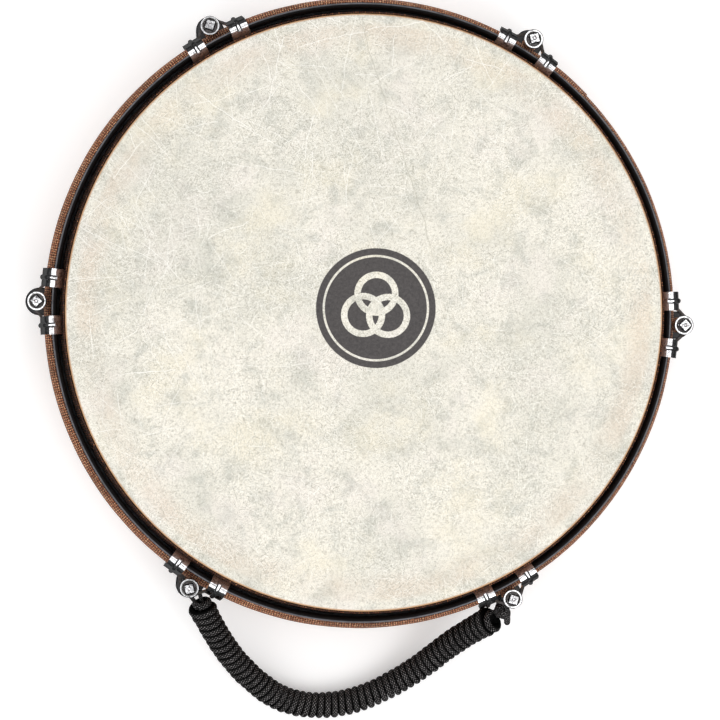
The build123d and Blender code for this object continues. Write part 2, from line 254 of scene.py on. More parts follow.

# The painted highlight line on the hoop's top and its satin edge: where each starts and where it is full
HIGHLIGHT_RISE = (HOOP_OUTER - 1.3 * MM, HOOP_OUTER - 0.9 * MM)
HIGHLIGHT_FALL = (HOOP_OUTER - 0.35 * MM, HOOP_OUTER - 0.1 * MM)
HIGHLIGHT_HEIGHT = (HOOP_HIGH.z - 0.6 * MM, HOOP_HIGH.z - 0.3 * MM)
SATIN_EDGE = (HOOP_OUTER - 0.9 * MM, HOOP_OUTER - 0.5 * MM)
DULL_HOOKS = (HOOP_OUTER - 3.2 * MM, HOOP_OUTER - 0.6 * MM)


def fibre_layer(graph, where, scale, half_width, turn, shift):
    """Thin straight fibres: one in each Voronoi cell, each in its own direction."""
    moved = graph.vector("ADD", where, (shift, -0.7 * shift, 0))
    centre, chance = graph.cells(moved, scale)
    red, green, _ = graph.split(chance)
    angle = graph.math("ADD", graph.math("MULTIPLY", red, tau), turn)
    across = graph.join(graph.math("SINE", angle), graph.math("COSINE", angle), 0.0)
    offset = graph.vector("SUBTRACT", moved, centre)
    away = graph.math("ABSOLUTE", graph.vector("DOT_PRODUCT", offset, across))
    line = graph.ramp(away, half_width * 0.4, half_width * 1.6, 1.0, 0.0)
    return graph.math("MULTIPLY", line, graph.ramp(green, 0.15, 1.0, 0.25, 1.0))


def fibre_sum(graph, where, layers):
    """Several fibre layers added together, each one shifted and turned from the last."""
    total = 0.0
    for number, (scale, half_width) in enumerate(layers):
        shift = LAYER_SHIFT * number + CELL_SHIFT * scale
        layer = fibre_layer(graph, where, scale, half_width, LAYER_TURN * number, shift)
        total = graph.math("ADD", total, layer)
    return total


def badge_mask(graph):
    """One inside the printed disc on the film's outside, but zero on its three interlaced rings."""
    x, y, z = graph.split(graph.place)
    grain = graph.math("SUBTRACT", graph.noise(graph.place, 1400, 2), 0.5)
    fuzz = graph.math("MULTIPLY", grain, PRINT_FUZZ)
    flat = graph.join(x, y, 0.0)

    def within(distance, limit, softness):
        return graph.ramp(distance, limit - softness, limit + softness, 1.0, 0.0)

    from_centre = graph.vector("DISTANCE", flat, (*BADGE_PLACE, 0))
    disc = within(graph.math("ADD", from_centre, fuzz), BADGE_RADIUS, BADGE_SOFTNESS)
    bare = 0.0
    for turn in RING_TURNS:
        centre = (
            BADGE_PLACE[0] + RING_SPREAD * cos(radians(turn)),
            BADGE_PLACE[1] + RING_SPREAD * sin(radians(turn)),
            0,
        )
        away = graph.math("SUBTRACT", graph.vector("DISTANCE", flat, centre), RING_RADIUS)
        edge = graph.math("ADD", graph.math("ABSOLUTE", away), fuzz)
        bare = graph.math("MAXIMUM", bare, within(edge, RING_HALF_WIDTH, RING_SOFTNESS))
    bare = graph.math("MAXIMUM", bare, within(from_centre, DOT_RADIUS, RING_SOFTNESS))
    border = graph.math("ABSOLUTE", graph.math("SUBTRACT", from_centre, BORDER_RADIUS))
    bare = graph.math("MAXIMUM", bare, within(border, BORDER_HALF_WIDTH, RING_SOFTNESS))
    disc = graph.math("MULTIPLY", disc, graph.ramp(z, PRINT_FROM, PRINT_FULL))
    return graph.math("MULTIPLY", disc, graph.math("SUBTRACT", 1.0, bare))


def film_material():
    """Mottled cream film: clouded, full of short fibres, warmer near its edge, with a printed badge."""
    g = Graph("film")
    x, y, _ = g.split(g.place)
    flat = g.join(x, y, 0.0)
    radius = g.vector("LENGTH", flat)

    def layer(shift, *look):
        """Noise over the film, shifted so that no two layers agree."""
        return g.noise(g.vector("ADD", flat, (*shift, 0)), *look)

    bend = g.join(g.noise(flat, 24), layer((3, 1), 24), 0.0)
    bent = g.vector("ADD", flat, g.vector("SCALE", bend, FIBRE_BEND))
    kink = g.join(g.noise(flat, 120, 1), layer((6, 5), 120, 1), 0.0)
    bent = g.vector("ADD", bent, g.vector("SCALE", kink, FIBRE_KINK))

    clouds = g.noise(flat, 15, 5, 0.62, 0.5)
    blotches = layer((5, 2), 62, 4, 0.68, 0.4)
    felt = layer((1, 7), 520, 4, 0.75, 0.6)
    grit = layer((4, 3), 1900, 2, 0.7)
    colour = g.mix(g.ramp(clouds, 0.38, 0.66), FILM_CREAM, FILM_CLOUD)
    colour = g.mix(g.ramp(blotches, 0.46, 0.7, 0.0, 0.85), colour, FILM_BLOTCH)
    # Painted shade: the film darker towards one side
    shade = g.ramp(g.vector("DOT_PRODUCT", flat, SHADE_TOWARDS), 0.0, 0.16, 0.0, 0.2)
    colour = g.mix(shade, colour, FILM_SHADE)
    colour = g.mix(g.ramp(felt, 0.46, 0.72, 0.0, 0.8), colour, FILM_FELT)
    colour = g.mix(g.ramp(grit, 0.5, 0.8, 0.0, 0.7), colour, FILM_DARK_GRIT)
    colour = g.mix(g.ramp(grit, 0.2, 0.46, 0.55, 0.0), colour, FILM_LIGHT_GRIT)

    tint = layer((8, 1), 22, 3, 0.6)
    colour = g.mix(g.ramp(tint, 0.5, 0.7, 0.0, 0.4), colour, FILM_YELLOW)
    colour = g.mix(g.ramp(tint, 0.32, 0.48, 0.3, 0.0), colour, FILM_PINK)

    tan = layer((9, 4), 28, 4, 0.6)
    near_edge = g.band(
        radius,
        (HEAD_RADIUS - 26 * MM, HEAD_RADIUS - 13 * MM),
        (HEAD_RADIUS - 9 * MM, HEAD_RADIUS - 4 * MM),
    )
    warmth = g.math("MULTIPLY", near_edge, g.ramp(tan, 0.35, 0.65, 0.1, 0.6))
    colour = g.mix(warmth, colour, FILM_TAN)

    patchy = g.ramp(layer((2, 8), 26, 3), 0.32, 0.62, 0.45, 1.0)
    dark = fibre_sum(g, flat, DARK_FIBRES)
    light = fibre_sum(g, flat, LIGHT_FIBRES)
    for fibres, tone in ((dark, FILM_DARK_FIBRE), (light, FILM_LIGHT_FIBRE)):
        strength = g.math("MULTIPLY", g.math("MULTIPLY", fibres, 0.5, clamp=True), patchy)
        colour = g.mix(strength, colour, tone)
    upper_left = g.ramp(g.vector("DOT_PRODUCT", flat, LONG_FIBRES_TOWARDS), -0.03, 0.07, 0.08, 1.0)
    long = g.math("MULTIPLY", fibre_sum(g, bent, LONG_FIBRES), upper_left, clamp=True)
    colour = g.mix(g.math("MULTIPLY", long, 0.75), colour, FILM_LONG_FIBRE)
    # Painted shade: a darker line along a crease in the film
    from_crease = g.vector("DOT_PRODUCT", g.vector("SUBTRACT", bent, CREASE_PLACE), CREASE_ACROSS)
    crease = g.math("ABSOLUTE", from_crease)
    above = g.ramp(y, 0.02, 0.05)
    crease = g.math("MULTIPLY", g.ramp(crease, 0.15 * MM, 0.45 * MM, 0.45, 0.0), above)
    colour = g.mix(crease, colour, FILM_CREASE_SHADE)

    # Painted shade: the film's rounded edge, where it turns down, darkened to a tan brown
    lip_shade = g.ramp(radius, HEAD_RADIUS - 1.5 * MM, HEAD_RADIUS - 0.3 * MM)
    colour = g.mix(lip_shade, colour, FILM_LIP_SHADE)
    printed = g.mix(g.ramp(felt, 0.3, 0.75), PRINT_DARK, PRINT_WORN)
    colour = g.mix(g.math("MULTIPLY", badge_mask(g), 0.98), colour, printed)

    height = g.math("ADD", g.math("MULTIPLY", felt, 0.6), g.math("MULTIPLY", light, 0.4))
    normal = g.bump(height, 0.04 * MM, 0.4)
    rough = g.ramp(g.math("ADD", felt, g.math("MULTIPLY", blotches, 0.5)), 0.5, 1.1, 0.38, 0.56)
    return g.finish(colour, rough, normal, Specular_IOR_Level=0.2)


def woven_material(name, light, mid, dark, pitch, depth):
    """A plain weave of raised threads; its UV map gives metres round and across the cloth."""
    g = Graph(name)
    uv = g.nodes.new("ShaderNodeUVMap")
    uv.uv_map = "UVMap"
    wall = uv.outputs["UV"]
    u, v, _ = g.split(wall)
    wobble = g.math("MULTIPLY", g.math("SUBTRACT", g.noise(wall, 240, 2), 0.5), pitch * 0.7)
    across = g.math("SINE", g.math("MULTIPLY", g.math("ADD", u, wobble), pi / pitch))
    along = g.math("SINE", g.math("MULTIPLY", g.math("ADD", v, wobble), pi / pitch))
    over = g.ramp(g.math("MULTIPLY", across, along), -0.15, 0.15)
    half_over = g.math("MULTIPLY", over, 0.5)
    warp = g.math("MULTIPLY", g.math("ABSOLUTE", across), g.math("ADD", 0.5, half_over))
    weft = g.math("MULTIPLY", g.math("ABSOLUTE", along), g.math("SUBTRACT", 1.0, half_over))
    height = g.math("MAXIMUM", warp, weft)
    fibres = g.noise(wall, 5200, 2, 0.7)
    specks = g.noise(wall, 700, 2, 0.6)
    patches = g.noise(g.place, 60, 4, 0.6)
    threads = g.noise(wall, 900, 2, 0.6)
    # Painted shade in the dips between threads, and painted highlights (glints) on their tops
    colour = g.mix(g.ramp(height, 0.5, 0.95), dark, mid)
    glint = g.math("MULTIPLY", g.ramp(height, 0.7, 1.0), g.ramp(threads, 0.46, 0.6))
    colour = g.mix(glint, colour, light)
    colour = g.mix(g.ramp(specks, 0.6, 0.72, 0.0, 0.7), colour, rgb(206, 112, 52))
    colour = g.mix(g.ramp(patches, 0.4, 0.7, 0.0, 0.35), colour, dark)
    normal = g.bump(g.math("ADD", height, g.math("MULTIPLY", fibres, 0.25)), depth, 0.9)
    return g.finish(colour, g.ramp(fibres, 0.3, 0.7, 0.6, 0.85), normal, Sheen_Weight=0.1)


def casing_material():
    """Dark paint: slight orange peel, hairline scratches and patches of dust."""
    g = Graph("casing_paint")
    peel = g.noise(g.place, 2200, 3, 0.55)
    streaks = g.noise(g.vector("MULTIPLY", g.place, (60, 60, 900)), 1.0, 4, 0.7)
    dust = g.noise(g.place, 90, 5, 0.7)
    colour = g.mix(g.ramp(dust, 0.5, 0.85, 0.0, 0.35), rgb(38, 38, 40), rgb(74, 72, 70))
    rough = g.math("ADD", g.ramp(peel, 0.3, 0.7, 0.38, 0.55), g.ramp(streaks, 0.62, 0.8, 0.0, 0.12))
    return g.finish(colour, rough, g.bump(peel, 0.03 * MM, 0.4), Specular_IOR_Level=0.5)


def hoop_material():
    """Black paint, satin on the hoop's outer edge and matt inside it, with a faint orange peel and dust."""
    g = Graph("hoop_paint")
    x, y, z = g.split(g.place)
    radius = g.vector("LENGTH", g.join(x, y, 0.0))
    peel = g.noise(g.place, 700, 3, 0.55)
    dust = g.noise(g.place, 120, 5, 0.7)
    colour = g.mix(g.ramp(dust, 0.55, 0.85, 0.0, 0.2), rgb(15, 15, 17), rgb(66, 64, 62))
    # Painted highlight: a light grey line along the hoop's outer top edge, its strength varied by the dust
    # noise
    painted_highlight = g.math("MULTIPLY", g.band(radius, HIGHLIGHT_RISE, HIGHLIGHT_FALL), g.ramp(z, *HIGHLIGHT_HEIGHT))
    painted_highlight = g.math("MULTIPLY", painted_highlight, g.ramp(dust, 0.3, 0.6, 0.5, 1.0))
    colour = g.mix(painted_highlight, colour, rgb(112, 112, 117))
    satin = g.ramp(radius, *SATIN_EDGE, 0.85, 0.3)
    rough = g.math("ADD", satin, g.ramp(peel, 0.4, 0.7, 0.0, 0.1))
    return g.finish(colour, rough, g.bump(peel, 0.02 * MM, 0.3), Specular_IOR_Level=0.4)


def chrome_material(name, shaded_below, lit_above, stain, dent, thread_depth=0.0):
    """Polished plating with wiping marks and dull spots.

    Painted shade darkens what faces up below a height, and the claws' hooks are duller inside the hoop.
    """
    g = Graph(name)
    x, y, z = g.split(g.place)
    radius = g.vector("LENGTH", g.join(x, y, 0.0))
    crest = g.math("SINE", g.math("MULTIPLY", z, tau / THREAD_PITCH))
    thread = g.math("MULTIPLY", crest, g.ramp(z, THREAD_TOP - THREAD_FADE, THREAD_TOP, thread_depth, 0.0))
    smears = g.noise(g.place, 130, 5, 0.6, 0.8)
    specks = g.noise(g.place, 1500, 2)
    upward = g.split(g.nodes.new("ShaderNodeNewGeometry").outputs["Normal"])[2]
    height = g.math("ADD", z, g.math("MULTIPLY", smears, 1.5 * MM))
    # Painted shade: chrome that faces up below a height is darkened to a dark brown grey, and made rougher
    unshaded = g.ramp(height, shaded_below, lit_above)
    unshaded = g.math("MAXIMUM", unshaded, g.ramp(upward, 0.3, 0.7, 0.8, 0.0))
    colour = g.mix(g.ramp(smears, 0.4, 0.8, 0.0, 0.3), rgb(236, 236, 238), rgb(212, 210, 212))
    colour = g.mix(unshaded, rgb(52, 48, 45), colour)
    stains = g.noise(g.place, 520, 3, 0.6, 1.0)
    colour = g.mix(g.ramp(stains, 0.62 - 0.2 * stain, 0.62, 0.0, stain), colour, rgb(84, 80, 82))
    rough = g.math("ADD", g.ramp(smears, 0.35, 0.75, 0.05, 0.13), g.ramp(specks, 0.68, 0.8, 0.0, 0.15))
    rough = g.math("ADD", rough, g.ramp(unshaded, 0, 1, 0.16, 0.0))
    rough = g.math("ADD", rough, g.ramp(radius, *DULL_HOOKS, 0.32, 0.0))
    relief = g.math("ADD", g.math("MULTIPLY", smears, dent), thread)
    return g.finish(colour, rough, g.bump(relief, 0.5 * MM, 1.0), Metallic=1.0)


def steel_material(name, tone, cloud, rough_low, rough_high):
    """Plain or plated metal: a fine brushed grain under a cloudy surface."""
    g = Graph(name)
    grain = g.noise(g.vector("MULTIPLY", g.place, (400, 400, 3000)), 1.0, 3, 0.6)
    clouds = g.noise(g.place, 300, 4, 0.6)
    colour = g.mix(g.ramp(clouds, 0.35, 0.7), tone, cloud)
    rough = g.ramp(grain, 0.3, 0.7, rough_low, rough_high)
    return g.finish(colour, rough, g.bump(grain, 0.01 * MM, 0.4), Metallic=1.0)


def brass_material():
    """Turned brass with fine lathe rings and tarnish."""
    g = Graph("brass")
    rings = g.noise(g.vector("MULTIPLY", g.place, (40, 40, 4000)), 1.0, 2, 0.5)
    tarnish = g.noise(g.place, 400, 4, 0.6)
    colour = g.mix(g.ramp(tarnish, 0.4, 0.75), rgb(206, 168, 92), rgb(140, 104, 58))
    return g.finish(colour, g.ramp(rings, 0.3, 0.7, 0.22, 0.4), g.bump(rings, 0.01 * MM, 0.5), Metallic=1.0)


def rubber_material():
    """Matt black sheet rubber with a fine moulded grain and bloom."""
    g = Graph("rubber")
    grain = g.noise(g.place, 2600, 2)
    bloom = g.noise(g.place, 160, 4, 0.6)
    colour = g.mix(g.ramp(bloom, 0.45, 0.8, 0.0, 0.4), rgb(30, 30, 31), rgb(72, 70, 68))
    return g.finish(colour, g.ramp(grain, 0.3, 0.7, 0.7, 0.9), g.bump(grain, 0.04 * MM, 0.6))


def ply_material():
    """Lacquered bent ply: grain along the bend on its faces, and its plies on cut edges."""
    g = Graph("ply")
    x, y, _ = g.split(g.place)
    radius = g.vector("LENGTH", g.join(x, y, 0.0))
    wall = around(g, FRAME_OUTER)
    u, v, _ = g.split(wall)
    streaks = g.noise(g.join(g.math("MULTIPLY", u, 9), g.math("MULTIPLY", v, 210), 0.0), 1.0, 5, 0.62, 0.5)
    pores = g.noise(g.join(g.math("MULTIPLY", u, 90), g.math("MULTIPLY", v, 2600), 0.0), 1.0, 2, 0.6)
    figure = g.noise(wall, 14, 4, 0.6, 1.2)
    face = g.mix(g.ramp(streaks, 0.32, 0.7), rgb(206, 164, 112), rgb(160, 112, 66))
    face = g.mix(g.ramp(figure, 0.4, 0.75, 0.0, 0.5), face, rgb(188, 138, 86))
    face = g.mix(g.ramp(pores, 0.6, 0.75, 0.0, 0.55), face, rgb(104, 66, 36))
    layers = g.math("SINE", g.math("MULTIPLY", radius, tau / PLY_PITCH))
    edge = g.mix(g.ramp(layers, -0.25, 0.25), rgb(196, 152, 102), rgb(122, 82, 48))
    normal_z = g.split(g.nodes.new("ShaderNodeNewGeometry").outputs["Normal"])[2]
    on_edge = g.ramp(g.math("ABSOLUTE", normal_z), 0.55, 0.8)
    colour = g.mix(on_edge, face, edge)
    height = g.math("ADD", streaks, g.math("MULTIPLY", pores, -0.6))
    rough = g.ramp(streaks, 0.3, 0.7, 0.34, 0.5)
    return g.finish(colour, rough, g.bump(height, 0.06 * MM, 0.5), Coat_Weight=0.2)


def bar_material(name, angle):
    """Oiled hardwood, its grain running along a crossbar at that angle."""
    g = Graph(name)
    along = (cos(radians(angle)), sin(radians(angle)), 0)
    aside = (-sin(radians(angle)), cos(radians(angle)), 0)
    _, _, z = g.split(g.place)
    u = g.vector("DOT_PRODUCT", g.place, along)
    v = g.vector("DOT_PRODUCT", g.place, aside)
    log = g.join(g.math("MULTIPLY", u, 7), g.math("MULTIPLY", v, 120), g.math("MULTIPLY", z, 120))
    grain = g.noise(log, 1.0, 5, 0.62, 0.8)
    fine = g.join(g.math("MULTIPLY", u, 70), g.math("MULTIPLY", v, 1900), g.math("MULTIPLY", z, 1900))
    pores = g.noise(fine, 1.0, 2, 0.6)
    colour = g.mix(g.ramp(grain, 0.3, 0.7), rgb(160, 106, 62), rgb(104, 62, 34))
    colour = g.mix(g.ramp(pores, 0.58, 0.74, 0.0, 0.7), colour, rgb(62, 36, 20))
    height = g.math("ADD", grain, g.math("MULTIPLY", pores, -0.8))
    return g.finish(colour, g.ramp(grain, 0.3, 0.7, 0.42, 0.6), g.bump(height, 0.08 * MM, 0.6))


def cord_material():
    """Black braided cord: its UV map runs round the cord (U, in turns) and along it (V, in metres)."""
    g = Graph("cord")
    uv = g.nodes.new("ShaderNodeUVMap")
    uv.uv_map = "UVMap"
    u, v, _ = g.split(uv.outputs["UV"])
    climb = g.math("MULTIPLY", v, tau / BRAID_PITCH)
    turn = g.math("MULTIPLY", u, tau * BRAID_STRANDS / 2)
    left = g.math("SINE", g.math("ADD", turn, climb))
    right = g.math("SINE", g.math("SUBTRACT", turn, climb))
    weave = g.math("MULTIPLY", left, right)
    height = g.math("ABSOLUTE", weave)
    yarn = g.noise(g.join(g.math("MULTIPLY", u, 26), g.math("MULTIPLY", v, 1500), 0.0), 1.0, 3, 0.7)
    lint = g.noise(g.place, 1900, 2, 0.6)
    # Painted shade in the braid's dips, and painted highlights (glints) on its crests
    colour = g.mix(g.ramp(height, 0.2, 0.75), rgb(1, 1, 1), rgb(8, 8, 8))
    glint = g.math("MULTIPLY", g.ramp(height, 0.5, 0.85), g.ramp(yarn, 0.42, 0.56))
    colour = g.mix(g.math("MULTIPLY", glint, 0.95), colour, rgb(156, 152, 152))
    colour = g.mix(g.ramp(lint, 0.68, 0.8, 0.0, 0.4), colour, rgb(112, 106, 104))
    # Painted shade: the cord turns black where it faces inward, in the grooves between its turns
    crest = g.nodes.new("ShaderNodeAttribute")
    crest.attribute_name = "crest"
    colour = g.mix(g.ramp(crest.outputs["Fac"], 0.72, 0.95), rgb(0, 0, 0), colour)
    rough = g.ramp(yarn, 0.3, 0.7, 0.5, 0.75)
    normal = g.bump(g.math("ADD", height, g.math("MULTIPLY", yarn, 0.4)), BRAID_DEPTH, 0.8)
    return g.finish(colour, rough, normal, Specular_IOR_Level=0.15)


MATERIALS = {
    "film": film_material(),
    "wrap": woven_material(
        "wrap_weave", rgb(255, 204, 158), rgb(178, 102, 62), rgb(44, 19, 9), WEAVE_PITCH, WEAVE_DEPTH
    ),
    # Painted shade: the collar is the wrap's weave in darker tones, for the shade of the gap under the hoop
    "collar": woven_material(
        "collar_weave_shaded", rgb(224, 160, 112), rgb(140, 78, 44), rgb(40, 17, 8), WEAVE_PITCH, WEAVE_DEPTH
    ),
    "hoop": hoop_material(),
    "casing": casing_material(),
    "chrome": chrome_material(
        "chrome", shaded_below=72.0 * MM, lit_above=75.0 * MM, stain=0.6, dent=0.01
    ),
    "rod": chrome_material(
        "rod_chrome", shaded_below=74.5 * MM, lit_above=77.5 * MM, stain=0.85, dent=0.35, thread_depth=0.5
    ),
    # Painted shade: the flesh hoop's metal is made dark grey and dull for the shade of the slot under the
    # tension hoop
    "flesh": steel_material(
        "flesh_hoop_metal", rgb(58, 58, 60), cloud=rgb(40, 39, 38), rough_low=0.5, rough_high=0.7
    ),
    "screw": steel_material(
        "screw_steel", rgb(196, 194, 190), cloud=rgb(150, 146, 138), rough_low=0.24, rough_high=0.42
    ),
    "brass": brass_material(),
    "rubber": rubber_material(),
    "ply": ply_material(),
    "bar_long": bar_material("bar_long_wood", angle=45),
    "bar_short": bar_material("bar_short_wood", angle=135),
    "cord": cord_material(),
}


# ------------------------------------------------------------------------- mesh helpers
def new_object(name, mesh, body, material):
    """Link a mesh as a piece that rides on a body, with its material in a slot."""
    piece = bpy.data.objects.new(name, mesh)
    bpy.context.scene.collection.objects.link(piece)
    piece.data.materials.append(MATERIALS[material])
    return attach(piece, body)


def tube_mesh(name, rows, uv, joined=False):
    """A smooth mesh from rows of points, each row a closed loop, with a UV map.

    In a joined mesh, the last row meets the first.
    """
    count, columns = len(rows), len(rows[0])
    mesh = bpy.data.meshes.new(name)
    faces, corners = [], []
    for i in range(count if joined else count - 1):
        for j in range(columns):
            i2, j2 = (i + 1) % count, (j + 1) % columns
            faces.append((i * columns + j, i * columns + j2, i2 * columns + j2, i2 * columns + j))
            corners.append(((i, j), (i, j + 1), (i + 1, j + 1), (i + 1, j)))
    mesh.from_pydata([point for row in rows for point in row], [], faces)
    layer = mesh.uv_layers.new(name="UVMap")
    flat = [uv(i, j) for quad in corners for i, j in quad]
    layer.data.foreach_set("uv", [c for pair in flat for c in pair])
    mesh.shade_smooth()
    return mesh


# ------------------------------------------------------------------- CAD nodes that stay
NODE_MATERIALS = {
    "head_membrane": "film",
    "tension_hoop": "hoop",
    "flesh_hoop": "flesh",
    "frame_hoop": "ply",
    "outer_band": "ply",
    "shoulder_ring": "ply",
    "crossbar_long": "bar_long",
    "crossbar_short": "bar_short",
    "lug_gaskets": "rubber",
    "lug_screws": "screw",
    "lug_screw_washers": "screw",
    "crossbar_screws": "screw",
}
LUG_NODE_MATERIALS = {
    "claw": "chrome",
    "rod_washer": "screw",
    "tension_rod": "rod",
    "lug_casing": "casing",
    "swivel_nut": "brass",
}
EDGE_WIDTHS = {"claw": 0.25 * MM, "lug_casing": 0.3 * MM, "tension_rod": 0.15 * MM}
EDGE_ANGLE = radians(40)


def finish_node(name, material):
    """Give a CAD node its material."""
    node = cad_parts[name]
    node.data.materials.clear()
    node.data.materials.append(MATERIALS[material])


def round_edges(name, width):
    """A small bevel on a CAD node's sharp edges, with even shading."""
    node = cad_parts[name]
    bevel = node.modifiers.new("edge", "BEVEL")
    bevel.width = width
    bevel.segments = 2
    bevel.limit_method = "ANGLE"
    bevel.angle_limit = EDGE_ANGLE
    bevel.harden_normals = True


for node_name, look in NODE_MATERIALS.items():
    finish_node(node_name, look)
for number in LUGS:
    for prefix, look in LUG_NODE_MATERIALS.items():
        finish_node(f"{prefix}_{number}", look)
    for prefix, edge_width in EDGE_WIDTHS.items():
        round_edges(f"{prefix}_{number}", edge_width)


# ------------------------------------------------------- woven cloths, in millimetres
WRAP_THICKNESS = 0.75
WRAP_INNER_EDGE = 179.5
WRAP_STAND_OFF = 0.8
WRAP_BOTTOM = 0.8
TOP_STEPS = 5
TOP_ROUND = 5.8
BOTTOM_ROUND = 3.3
WALL_STEPS = 12
WALL_CORNER = ((0.9, 0.0), (0.25, 0.25))
WALL_DROP = 1.0
CLOTH_STEPS = 720
WEAVE_LENGTH = 1.2
SEAM_START = 46.0
SEAM_END = 55.2
SEAM_THICKNESS = 0.75
SEAM_GAP = 0.02
SEAM_TAPER = 4
SEAM_THINNEST = 0.05
RIPPLE_DEPTH = 0.12
COLLAR_THICKNESS = 0.55
COLLAR_LINE = (
    (178.95, 112.8),
    (179.0, 106.0),
    (179.05, 98.0),
    (179.4, 87.0),
    (180.0, 79.5),
    (181.5, 74.0),
    (183.1, 69.2),
)
PLEAT_DEPTH = 0.08
PLEAT_GROWTH = 0.004
PLEAT_INSET = 0.06


def arc(centre, radius, start, end, steps):
    """Points along an arc in the plane of radius and height."""
    angles = [radians(start + (end - start) * i / steps) for i in range(steps + 1)]
    return [(centre[0] + radius * cos(a), centre[1] + radius * sin(a)) for a in angles]


def offset_line(line, distance):
    """A profile moved to its right-hand side by a distance."""
    points = np.array(line)
    along = np.gradient(points, axis=0)
    along /= np.linalg.norm(along, axis=1)[:, None]
    aside = np.stack([along[:, 1], -along[:, 0]], axis=1)
    return points + aside * distance


def smooth_profile(line, count=26):
    """A profile with rounded corners, from a few points, by repeated corner cutting."""
    points = np.array(line)
    for _ in range(2):
        first = points[:-1] * 0.75 + points[1:] * 0.25
        second = points[:-1] * 0.25 + points[1:] * 0.75
        middle = np.stack([first, second], axis=1).reshape(-1, 2)
        points = np.concatenate([points[:1], middle, points[-1:]])
    length = lengths_along(points)
    wanted = np.linspace(0, length[-1], count)
    return [(np.interp(w, length, points[:, 0]), np.interp(w, length, points[:, 1])) for w in wanted]


def lengths_along(points):
    """How far each of a line's points is along it."""
    return np.concatenate([[0], np.cumsum(np.linalg.norm(np.diff(points, axis=0), axis=1))])


def cloth_band(name, profile, thickness, start, end, relief, thin_end=False):
    """A band of cloth turned about the drum's axis between two angles.

    The profile is its outer line from the top down. The relief lifts a point of it by its
    angle and its distance down the profile.
    """
    outer = np.array(profile)
    inner = offset_line(profile, thickness)
    normal = offset_line(profile, -1.0) - outer
    down = lengths_along(outer)
    whole = end - start >= 360
    count = max(8, int(CLOTH_STEPS * (end - start) / 360))
    rows = []
    for i in range(count if whole else count + 1):
        share = i / count
        angle = radians(start + (end - start) * share)
        lift = np.array([relief(angle, d) for d in down])
        face = outer + normal * lift[:, None]
        if thin_end:
            close = min(1.0, (1 - share) * SEAM_TAPER)
            face = inner + (face - inner) * max(SEAM_THINNEST, close)
        loop = np.concatenate([face, inner[::-1]])
        rows.append([(r * cos(angle) * MM, r * sin(angle) * MM, z * MM) for r, z in loop])
    drop = [*down, *down[::-1]]

    def uv(i, j):
        turns = (start + (end - start) * i / count) / 360
        return (turns * WEAVE_LENGTH, drop[j % len(drop)] * MM)

    return tube_mesh(name, rows, uv, joined=whole)


def wrap_profile():
    """The outside of the cloth, from its inner edge over the shoulder and down the band."""
    top, outer = SHOULDER_TOP / MM, SHOULDER_RADIUS / MM
    wall = BAND_OUTER / MM + WRAP_STAND_OFF
    low = SHOULDER_BOTTOM / MM - WRAP_STAND_OFF
    reach = outer - TOP_ROUND - WRAP_INNER_EDGE
    line = [(WRAP_INNER_EDGE + reach * i / TOP_STEPS, top) for i in range(TOP_STEPS)]
    line += arc((outer - TOP_ROUND, top - TOP_ROUND), TOP_ROUND, 90, 0, 8)
    line += arc((outer - BOTTOM_ROUND, low + BOTTOM_ROUND), BOTTOM_ROUND, 0, -90, 6)
    line += [(wall + out, low - under) for out, under in WALL_CORNER]
    wall_top = low - WALL_DROP
    line += [(wall, wall_top - (wall_top - WRAP_BOTTOM) * i / WALL_STEPS) for i in range(WALL_STEPS + 1)]
    return line


def unevenness(angle, down, rate_round, rate_down):
    """Smooth noise over a cloth band, from -1 to 1."""
    return noise.noise(Vector((cos(angle) * rate_round, sin(angle) * rate_round, down * rate_down)))


def ripple(angle, down):
    """Slight unevenness of a glued cloth."""
    return RIPPLE_DEPTH * unevenness(angle, down, 9, 0.12)


def pucker(angle, down):
    """The collar's pleats, which grow deeper towards the flesh hoop."""
    return (PLEAT_DEPTH + PLEAT_GROWTH * down) * unevenness(angle, down, 22, 0.05) - PLEAT_INSET


def make_cloths():
    profile = wrap_profile()
    band = cloth_band("wrap", profile, WRAP_THICKNESS, 0, 360, ripple)
    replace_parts(new_object("wrap", band, "shell", "wrap"), "shell_wrap")
    over = [tuple(p) for p in offset_line(profile[TOP_STEPS:], -SEAM_GAP - SEAM_THICKNESS)]
    lap = cloth_band("wrap_lap", over, SEAM_THICKNESS, SEAM_START, SEAM_END, ripple, thin_end=True)
    new_object("wrap_lap", lap, "shell", "wrap")
    collar = cloth_band("collar", smooth_profile(COLLAR_LINE), COLLAR_THICKNESS, 0, 360, pucker)
    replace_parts(new_object("collar", collar, "tuning_hoop", "collar"), "collar_cloth")


make_cloths()


# ------------------------------------------------------------------------------ handle
GRIP_ROUTE = (
    (-0.0905, -0.1825, 0.0500),
    (-0.0805, -0.2025, 0.0380),
    (-0.0605, -0.2275, 0.0210),
    (-0.0340, -0.2462, 0.0088),
    (0.0040, -0.2452, 0.0088),
    (0.0420, -0.2245, 0.0130),
    (0.0716, -0.1965, 0.0300),
    (0.0905, -0.1838, 0.0500),
)
CORE_RADIUS = 3.2 * MM
CORD_SIDES = 14
CORD_TIP = 0.12
WINDING_SEED = 7
WOUND_RADIUS = 2.2 * MM
WOUND_TURNS = 54
TURN_STEPS = 28
HELIX_RADIUS = 6.1 * MM
HELIX_SLACK = 0.2 * MM
HELIX_START = 0.6
SPREAD_BY_LEVEL = 0.5
FIRST_CLOSE = 0.3
CAP_REACH = 3.4 * MM
KNOT_GAP = 3.6 * MM
END_SWELL = 1.0 * MM
SWELL_TURNS = (3, 4)
KNOT_RADIUS = 1.95 * MM
